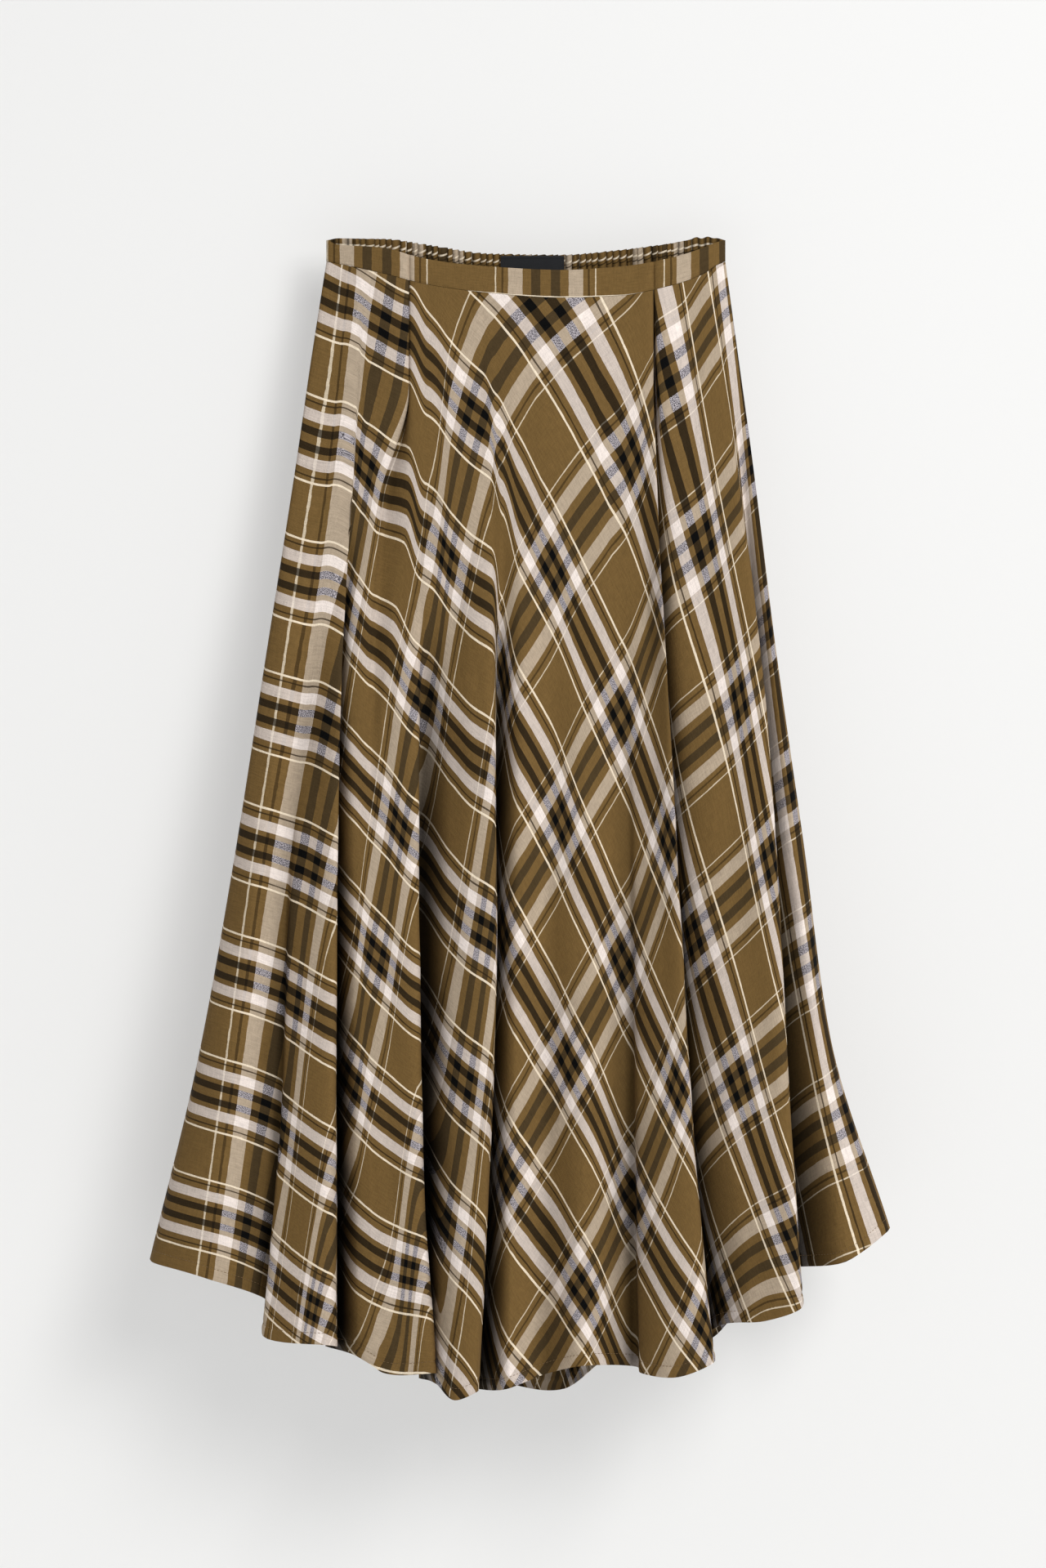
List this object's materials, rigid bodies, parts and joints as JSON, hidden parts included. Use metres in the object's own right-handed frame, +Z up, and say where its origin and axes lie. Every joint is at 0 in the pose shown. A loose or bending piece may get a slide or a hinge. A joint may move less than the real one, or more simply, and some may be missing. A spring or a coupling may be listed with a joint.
{
  "type": "midi skirt",
  "caption": "Long flared midi skirt in checked woven cloth, with a flat front waistband, an elastic ruched back waistband, stitched front tucks and deep flutes to an uneven hem.",
  "frame": {"origin": "middle of the waist, level with the upper corners of the waistband, where the wearer's waist holds the skirt", "axes": "+Z up along the skirt's length, -Y out of the front, +X to the right seen from the front"},
  "size_m": [0.616, 0.1934, 0.9727],
  "materials": {
    "checked_cloth": "matte woven crepe check in ochre brown, beige and near black",
    "label_ribbon": "smooth black woven ribbon with a slight sheen"
  },
  "bodies": {
    "root": {"panel_front": "checked_cloth", "panel_back": "checked_cloth", "waistband_front": "checked_cloth", "waistband_back": "checked_cloth", "label": "label_ribbon"}
  },
  "joints": []
}
